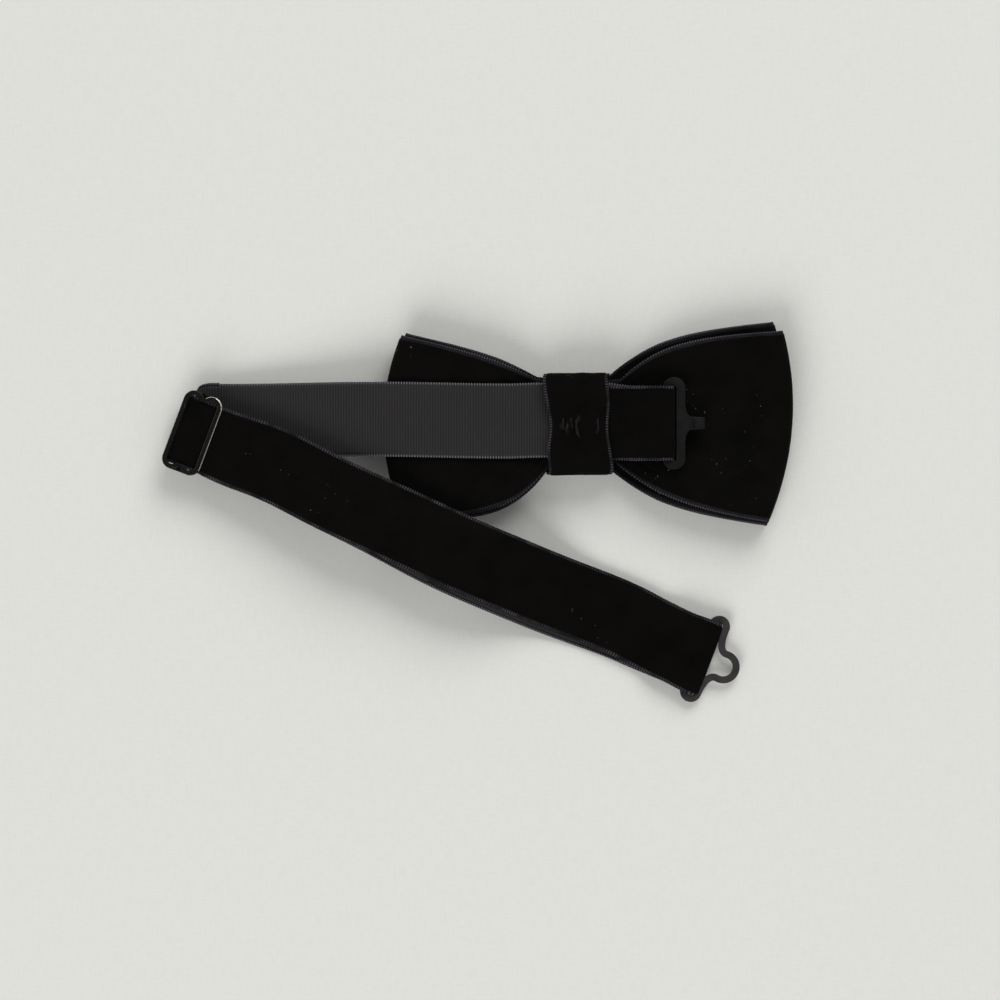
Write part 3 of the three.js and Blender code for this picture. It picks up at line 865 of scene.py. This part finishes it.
def threads():
    """The gathering thread, the tack stitches and the stitching of both ribbon ends."""
    gather = round_the_waist(13.65, 1.25, 8.95, 0.7)
    points, _ = gather.rows(0.5)
    ring = [(0, y, z) for y, z in points[2:-2]]
    piece = twisted("gathering_thread", ring)
    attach(piece, "bow")
    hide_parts("gather_thread")
    for number, x in enumerate(TACKS, 1):
        staple = [
            (x, y, KNOT_BACK + 0.1 + STITCH_RISE * math.cos(y / STITCH_HALF * math.pi / 2))
            for y in np.linspace(-STITCH_HALF, STITCH_HALF, 9)
        ]
        piece = twisted(f"tack_stitch_thread_{number}", staple, 0.2)
        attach(piece, "bow")
        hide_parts(f"tack_stitch_{number}")
    seams = (
        ("hook_tab_stitching", "hook_tab_seam", "bow"),
        ("sewn_end_stitching", "return_end_seam", "slider"),
    )
    for name, node, body in seams:
        low, high = (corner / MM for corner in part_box(node))
        middle = (low + high) / 2
        if body == "bow":
            ends = [Vector((middle.x, y, middle.z)) for y in (low.y + 0.3, high.y - 0.3)]
        else:
            across = Vector((math.sin(SLIDER_TURN), math.cos(SLIDER_TURN), 0)) * 8.8
            ends = [middle - across, middle + across]
        piece = twisted(name, [ends[0].lerp(ends[1], k / 40) for k in range(41)], 0.2)
        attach(piece, body)
        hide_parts(node)


# ---- neck ribbon ----
BAND_END = FOLD.x + 7.5  # where the fold's own piece of ribbon takes over from the band
LOW_END = FOLD.x + 0.9  # where the band lies lowest
BAND_SLOPE = (BAND_ON_BOW - BAND_AT_FOLD) / (-57 - LOW_END)


def band_height(x):
    return BAND_AT_FOLD + (x - LOW_END) * BAND_SLOPE


def neck_ribbon():
    """From the fold, over the bow and through the knot, round the hook's bar and back into it."""
    route = Route(BAND_END, band_height(BAND_END)).line(-60, band_height(-60))
    route.bezier((-58, BAND_ON_BOW - 0.2), (-56, BAND_ON_BOW), (-54, BAND_ON_BOW))
    route.line(-28, BAND_ON_BOW).ease(-WAIST, BAND_IN_KNOT).line(WAIST, BAND_IN_KNOT)
    route.ease(20, BAND_ON_BOW).line(HOOK_BAR.x + 0.55, BAND_ON_BOW)
    route.arc(HOOK_BAR.x + 0.55, HOOK_BAR.z, LOOP_RADIUS, -90, 90)
    route.line(24, HOOK_BAR.z + LOOP_RADIUS).ease(WAIST + 0.4, TAIL_IN_KNOT).line(-6, TAIL_IN_KNOT)
    points, rows = route.rows(STEP)
    turned = points[:, 0].argmax()

    def place_of(row, gone, side):
        x, z = points[row, 0], points[row, 1]
        share = np.clip((x - WAIST) / 6, 0, 1)
        middle = BAND_Y + (HOOK_BAR.y - BAND_Y) * share
        middle = np.where(row > turned, HOOK_BAR.y, middle)
        width = np.where(row > turned, TAB_RIBBON, NECK_RIBBON) / NECK_RIBBON
        drift = 0.28 * np.sin(x / 13) * np.clip(-(x + 12) / 8, 0, 1)
        sag = 0.18 * np.sin(x / 8.5 + side / 9) * np.clip(-(x + 60) / 10, 0, 1)
        return np.stack([x, middle + side * width + drift, z + sag], axis=1)

    piece = sheet_of("neck_ribbon_cloth", rows, columns(NECK_RIBBON), NECK_RIBBON, place_of, BACK, VELVET)
    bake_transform(piece)
    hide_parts("neck_band", "hook_tab_tail", "hook_tab")


STRAP = turn_and_move((FOLD.x, FOLD.y, 0), 0, -STRAP_TURN)
STRAP_START = 3.5
RETURN_START = 7  # the part of the return layer that gathers up, along the strap
RETURN_BREAK = 58.0


def top_height(s):
    return FOLD.z + TOP_LIFT + s * RISE


def return_height(s):
    return FOLD.z - RETURN_DROP + s * RISE


def strap_drift(s):
    """The strap isn't quite straight."""
    bends = ((1.1, 26, 13.5), (-0.4, 86, 18), (1.0, 136, 16))
    return sum(off * np.exp(-(((s - at) / reach) ** 2)) for off, at, reach in bends)


def strap_spread(s):
    """How much wider the strap is beyond the slider, which draws it in, and in the eye."""
    return 1 + 0.055 * np.clip((s - 5) / 14, 0, 1) + 0.045 * np.clip((s - 157) / 6, 0, 1)


def return_drift(s):
    """How far the return layer has slipped out past the strap's lower edge."""
    return -1.8 * np.exp(-(((s - 105) / 42) ** 4)) - 0.15


def strap_ribbon():
    """Along the top of the strap, round the eye's bar, and back underneath."""
    route = Route(STRAP_START, top_height(STRAP_START)).line(54, top_height(54))
    route.bezier((60, top_height(60)), (60, STRAP_ON_BOW), (68, STRAP_ON_BOW)).line(84, STRAP_ON_BOW)
    route.ease(130, STRAP_BEYOND).line(146, STRAP_BEYOND).ease(157, EYE_LIFT + LOOP_RADIUS)
    route.line(EYE_FOLD, EYE_LIFT + LOOP_RADIUS).arc(EYE_FOLD, EYE_LIFT, LOOP_RADIUS, 90, -90)
    route.line(129.6, RETURN_BEYOND).ease(83.6, RETURN_ON_BOW).line(62, RETURN_ON_BOW)
    route.bezier((60, RETURN_ON_BOW), (59, return_height(59)), (RETURN_BREAK, return_height(RETURN_BREAK)))
    points, rows = route.rows(STEP)
    turned = points[:, 0].argmax()

    def place_of(row, gone, side):
        s, z = points[row, 0], points[row, 1]
        under = np.clip((row - turned) / 120, 0, 1)
        across = side * strap_spread(s) + strap_drift(s) * np.clip((162 - s) / 20, 0, 1)
        swell = np.clip((s - EYE_FOLD) / LOOP_RADIUS, 0, 1)
        s = s + swell * (1.25 - 0.06 * side - 0.7 * (np.abs(side) / STRAP_RIBBON * 2) ** 10)
        across = across + return_drift(s) * under * under * (3 - 2 * under)
        free = np.clip((s - 10) / 12, 0, 1) * np.clip((118 - s) / 20, 0, 1)
        wave = 0.16 * np.sin(s / 9 + side / 8) * free
        return laid(np.stack([s, z + wave], axis=1), STRAP)(np.arange(len(s)), gone, across)

    piece = sheet_of("strap_ribbon_cloth", rows, columns(STRAP_RIBBON), STRAP_RIBBON, place_of, VELVET, BACK)
    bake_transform(piece)
    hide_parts("strap_top", "eye_fold", "return_far")


def return_ribbon():
    """The part of the return layer that gathers up as the slider moves along the strap."""
    route = Route(RETURN_START, return_height(RETURN_START)).line(RETURN_BREAK, return_height(RETURN_BREAK))
    points, rows = route.rows(STEP)

    def place_of(row, gone, side):
        s, z = points[row, 0], points[row, 1]
        drift = (strap_drift(s) + return_drift(s)) * np.clip((s - RETURN_START) / 12, 0, 1)
        across = side * strap_spread(s) + drift
        return laid(np.stack([s, z], axis=1), STRAP)(np.arange(len(s)), gone, across)

    places = columns(STRAP_RIBBON)
    piece = sheet_of("return_ribbon_cloth", rows, places, STRAP_RIBBON, place_of, BACK, VELVET)
    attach(piece, "strap")
    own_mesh(piece)
    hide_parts("return_near")


FOLD_REACH = 2.7  # how far past the slider's middle bar the turn's own middle is


def fold_ribbon():
    """The turn where the band comes up round the slider's bar and becomes the strap."""
    radius = (top_height(0) - BAND_AT_FOLD) / 2
    middle = (top_height(0) + BAND_AT_FOLD) / 2
    share = np.linspace(0, 1, 181)
    out, round_it = 0.36, 0.30  # shares of the piece before the turn, and in it
    first = np.array([BAND_END, BAND_Y, band_height(BAND_END)])
    last = STRAP[0] @ np.array([STRAP_START, 0, top_height(STRAP_START)]) + STRAP[1]
    away = np.array([-math.cos(SLIDER_TURN), math.sin(SLIDER_TURN), 0])
    centre = np.array([FOLD.x, FOLD.y, middle]) + away * FOLD_REACH
    path, turn = [], []
    for t in share:
        if t < out:
            u = t / out
            late = u**4
            place = first + (centre - first) * u
            place[1] = BAND_Y + (centre[1] - BAND_Y) * late
            place[2] = first[2] + (middle - radius - first[2]) * u
            turn.append(SLIDER_TURN * late)
        elif t < out + round_it:
            u = (t - out) / round_it
            angle = math.pi * (u - 0.5)
            place = centre + away * radius * math.cos(angle)
            place[2] = middle + radius * math.sin(angle)
            turn.append(SLIDER_TURN)
        else:
            u = (t - out - round_it) / (1 - out - round_it)
            easy = u * u * (3 - 2 * u)
            place = centre + (last - centre) * u
            place[2] = middle + radius + (last[2] - middle - radius) * u
            turn.append(SLIDER_TURN + (STRAP_TURN - SLIDER_TURN) * easy)
        path.append(place)
    path, turn = np.array(path), np.array(turn)
    rows = np.append(0, np.cumsum(np.linalg.norm(np.diff(path, axis=0), axis=1)))

    def place_of(row, gone, side):
        drawn_in = np.clip((share[row] - 0.12) / (out - 0.16), 0, 1)
        width = 1 + (STRAP_RIBBON / NECK_RIBBON - 1) * drawn_in
        across = np.stack([np.sin(turn[row]), np.cos(turn[row]), np.zeros(len(row))], axis=1)
        return path[row] + across * (side * width)[:, None]

    piece = sheet_of("fold_ribbon_cloth", rows, columns(NECK_RIBBON), NECK_RIBBON, place_of, VELVET, BACK)
    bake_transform(piece)
    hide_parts("strap_fold")


SLIDER = turn_and_move(FOLD, -PITCH, -SLIDER_TURN)
AROUND_BAR = 1.15  # radius of the ribbon's end round the slider's middle bar


def sewn_end():
    """The return layer's end, sewn round the slider's middle bar."""
    route = Route(6, -AROUND_BAR).line(-0.35, -AROUND_BAR).arc(-0.35, 0, AROUND_BAR, 270, 90)
    route.line(0.35, AROUND_BAR).arc(0.35, 0, AROUND_BAR, 90, -20)
    points, rows = route.rows(STEP)
    width = STRAP_RIBBON - 0.4
    piece = sheet_of("sewn_end_cloth", rows, columns(width), width, laid(points, SLIDER), BACK, VELVET)
    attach(piece, "slider")
    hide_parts("return_end_loop")


# ---- metal ----
METAL = 1.0
EASED = 0.22  # rounding of the stamped edges
TONGUE = 10.0  # where the hook's tongue turns up, from the middle of its hidden bar


def as_matrix(turned):
    matrix = Matrix(turned[0].tolist()).to_4x4()
    return Matrix.Translation(Vector(turned[1]) * MM) @ matrix


def hook():
    """A flat plate with a slot for the ribbon, and a tongue turned up and back."""
    half, corner = 13.65, 3.3
    near, far = -0.9, 5.8  # the plate's long sides
    stem = 1.95  # half width of the tongue's root
    quarter = math.pi / 2
    outer = rounded_rectangle(near, far, half, corner)
    outer += bezier_points((far, -5.4), (6.0, -3.6), (6.5, -2.1), (7.6, -stem))
    outer += [(9, -stem), (9, stem)]
    outer += bezier_points((7.6, stem), (6.5, 2.1), (6.0, 3.6), (far, 5.4))
    body = stamped("hook_plate", [outer, rounded_rectangle(0.9, 3.1, 11.25, 1)], METAL, EASED)
    bend = 1.2
    tip = [(8.3, -METAL / 2), (TONGUE, -METAL / 2)]
    tip += arc_points(TONGUE, bend, bend + METAL / 2, -quarter, quarter, 18)
    tip += [(8.6, 2 * bend + METAL / 2), (8.6, 2 * bend - METAL / 2)]
    tip += arc_points(TONGUE, bend, bend - METAL / 2, quarter, -quarter, 18)
    tip += [(8.3, METAL / 2)]
    tongue = stamped("hook_tongue", [tip], 3.6, EASED, stand=True)
    united(body, [tongue])
    finish_metal(body, HOOK_PAINT, Matrix.Translation(HOOK_BAR * MM))
    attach(body, "hook")
    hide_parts("hook")


def eye():
    """A flat strip bent to a closed shape: straight bar, two lobes and a nose."""
    lobe_y, lobe, nose, nose_x, strip = 10.5, 2.15, 3.85, 5.9, 2.1
    turn = math.radians(97)
    join_x, join_y = nose_x + nose * math.cos(turn), nose * math.sin(turn)
    line = [(-lobe, y) for y in np.linspace(-lobe_y, lobe_y, 12)]
    line += arc_points(0, lobe_y, lobe, math.pi, 0, 24)
    line += bezier_points((lobe, lobe_y), (lobe, 6.6), (3.2, join_y - 0.25), (join_x, join_y), 20)
    line += arc_points(nose_x, 0, nose, turn, -turn, 36)
    line += bezier_points((join_x, -join_y), (3.2, 0.25 - join_y), (lobe, -6.6), (lobe, -lobe_y), 20)
    line += arc_points(0, -lobe_y, lobe, 0, -math.pi, 24)
    line = np.array(line)
    line = line[np.linalg.norm(line - np.roll(line, 1, axis=0), axis=1) > 1e-3]
    along = np.roll(line, -1, axis=0) - np.roll(line, 1, axis=0)
    along /= np.linalg.norm(along, axis=1)[:, None]
    out = np.stack([-along[:, 1], along[:, 0]], axis=1) * strip / 2
    piece = stamped("eye_plate", [line + out, line - out], METAL, EASED)
    place = as_matrix(STRAP) @ Matrix.Translation(Vector((EYE_BAR + lobe, 0, EYE_LIFT)) * MM)
    # the eye's paint is lightened as painted reflection
    finish_metal(piece, EYE_PAINT_WITH_PAINTED_REFLECTION, place)
    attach(piece, "eye")
    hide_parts("eye")


LOBE_X = 2.8  # the slider's lobes, off its middle bar
LOBE_RADIUS = 3.2
NOTCH = 0.875  # where neighbouring lobes meet, as a share of their radius


def figure_of_eight(half, lobe_x, radius):
    """Four lobes joined in pairs by straight sides, with a notch between the pairs at each end."""
    lobe_y = half - radius
    waist = math.acos(-NOTCH)
    return (
        arc_points(lobe_x, lobe_y, radius, 0, waist, 18)
        + arc_points(-lobe_x, lobe_y, radius, math.pi - waist, math.pi, 18)
        + arc_points(-lobe_x, -lobe_y, radius, math.pi, math.pi + waist, 18)
        + arc_points(lobe_x, -lobe_y, radius, -waist, 0, 18)
    )


def slider():
    """A ring raised over a middle bar on feet and posts, with painted highlights along some edges."""
    half, strip, lift = 12.2, 1.5, 3.4
    outer = figure_of_eight(half, LOBE_X, LOBE_RADIUS)
    inner = figure_of_eight(half - strip, LOBE_X, LOBE_RADIUS - strip)
    ring = stamped("slider_frame", [outer, inner], METAL, 0.34)
    ring.data.transform(Matrix.Translation((0, 0, lift * MM)))
    others = [block("middle_bar", (1.3, 23, METAL * 0.8), (0, 0, 0))]
    for end in (-1, 1):
        others.append(block("foot", (4.4, 1.35, METAL), (0, end * 11.5, 0)))
        for side in (-1, 1):
            others.append(block("post", (1.2, 0.65, lift), (side * 1.6, end * 11.85, lift / 2)))
    united(ring, others)
    finish_metal(ring, SLIDER_BLACK, Matrix.Identity(4))
    ring.data.materials.append(PAINTED_EDGE_HIGHLIGHT)
    ring.data.materials.append(PAINTED_DULL_EDGE_HIGHLIGHT)
    # Painted highlights: the far side and one end are bright on top, where the edges face the light, and two
    # stretches of the edge dull.
    for face in ring.data.polygons:
        middle = face.center / MM
        outward = face.normal.x * (middle.x > LOBE_X) + face.normal.y * (middle.y > half - LOBE_RADIUS)
        if face.normal.z < 0.2 or middle.z < lift:
            continue
        if middle.x > 0.4 and outward > 0.3 and middle.y > -9.8:
            face.material_index = 1
        elif face.normal.x < -0.3 and abs(middle.y) < 10 and (middle.x < -5.2 or middle.x > 3.5):
            face.material_index = 2
    ring.data.transform(as_matrix(SLIDER))
    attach(ring, "slider")
    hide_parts("slider")


camera()
studio()
table()
knot()
loops()
threads()
neck_ribbon()
strap_ribbon()
return_ribbon()
fold_ribbon()
sewn_end()
hook()
eye()
slider()
